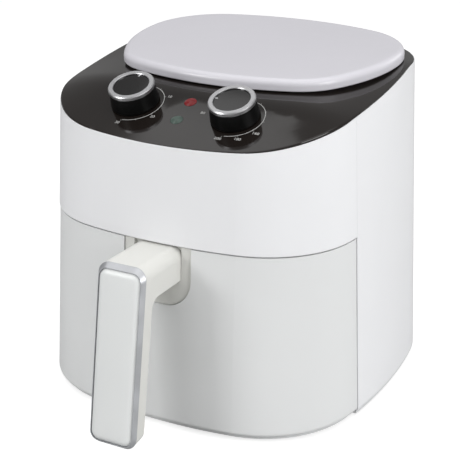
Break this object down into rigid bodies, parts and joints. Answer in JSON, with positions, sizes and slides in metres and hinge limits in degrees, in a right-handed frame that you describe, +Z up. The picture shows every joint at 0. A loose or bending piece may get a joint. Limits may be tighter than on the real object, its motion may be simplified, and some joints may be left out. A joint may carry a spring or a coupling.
{
  "type": "hot-air fryer",
  "caption": "Table-top hot-air fryer: tapered rounded casing, sloping control panel with knobs, raised lid and a pull-out pan drawer with a drop handle.",
  "frame": {"origin": "centre of the bounding box at floor level, under the casing", "axes": "+Z up, the drawer and handle face -Y, +X is to the right seen from the front"},
  "size_m": [0.2998, 0.3868, 0.2961],
  "materials": {
    "white_casing": "satin white moulded plastic",
    "drawer_white": "satin white moulded plastic",
    "panel_black": "high gloss dark brown-black",
    "lid_grey": "satin pale lavender grey",
    "knob_black": "satin black",
    "knob_gloss": "high gloss black",
    "brushed_silver": "spun silver",
    "handle_cream": "satin warm white",
    "handle_plate_white": "satin white",
    "trim_silver": "satin silver",
    "red_lens": "translucent red",
    "green_lens": "translucent pale green",
    "nonstick": "dark non-stick coating",
    "liner_steel": "bright galvanised sheet",
    "heater_steel": "heat-tinted tube",
    "rubber_black": "matt rubber",
    "silicone": "silicone rubber",
    "dark_plastic": "fine textured dark grey",
    "base_white": "fine textured white",
    "screw_steel": "zinc plated",
    "motor_steel": "pressed steel can",
    "fan_aluminium": "pressed aluminium",
    "electric_white": "moulded insulating plastic"
  },
  "bodies": {
    "housing": {"rear_housing": "white_casing", "front_cover": "white_casing", "base_plate": "base_white", "feet": "rubber_black", "control_panel": "panel_black", "top_lid": "lid_grey", "timer_mechanism": "motor_steel", "thermostat": "electric_white", "red_lamp": "red_lens", "green_lamp": "green_lens", "lamp_holder": "dark_plastic", "cooking_chamber": "liner_steel", "front_frame": "dark_plastic", "drawer_rails": "liner_steel", "heating_element": "heater_steel", "heater_terminals": "electric_white", "reflector": "liner_steel", "heater_guard": "screw_steel", "fan_motor": "motor_steel", "motor_bracket": "liner_steel", "air_outlet_grille": "dark_plastic", "cord_gland": "dark_plastic", "terminal_block": "electric_white", "thermal_cutout": "electric_white", "sensor_bulb": "screw_steel", "door_switch": "dark_plastic", "base_screws": "screw_steel"},
    "timer_knob": {"timer_knob_body": "knob_black", "timer_knob_ring": "brushed_silver", "timer_knob_disc": "knob_gloss", "timer_shaft": "screw_steel"},
    "temperature_knob": {"temperature_knob_body": "knob_black", "temperature_knob_ring": "brushed_silver", "temperature_knob_disc": "knob_gloss", "temperature_shaft": "screw_steel"},
    "drawer": {"drawer_front": "drawer_white", "drawer_inner_panel": "dark_plastic", "handle_escutcheon": "handle_cream", "handle_body": "handle_cream", "handle_trim": "trim_silver", "handle_plate": "handle_plate_white", "handle_screws": "screw_steel", "drawer_pan": "nonstick"},
    "tray": {"crisper_tray": "nonstick", "tray_bumpers": "silicone"},
    "fan": {"convection_fan": "fan_aluminium", "cooling_fan": "electric_white", "motor_shaft": "screw_steel"}
  },
  "joints": [
    {"name": "drawer_slide", "type": "slide", "parent": "housing", "child": "drawer", "axis": [0, -1, 0], "range_m": [0, 0.235]},
    {"name": "tray_lift", "type": "slide", "parent": "drawer", "child": "tray", "axis": [0, 0, 1], "range_m": [0, 0.09]},
    {"name": "timer_turn", "type": "hinge", "parent": "housing", "child": "timer_knob", "pos_m": [-0.0468, -0.06802, 0.2643], "axis": [0, 0.3746, -0.9272], "range_deg": [0, 180]},
    {"name": "temperature_turn", "type": "hinge", "parent": "housing", "child": "temperature_knob", "pos_m": [0.0468, -0.06802, 0.2643], "axis": [0, 0.3746, -0.9272], "range_deg": [0, 275]},
    {"name": "fan_spin", "type": "hinge", "parent": "housing", "child": "fan", "pos_m": [0, 0.03288, 0.2455], "axis": [0, 0, 1], "continuous": true}
  ]
}
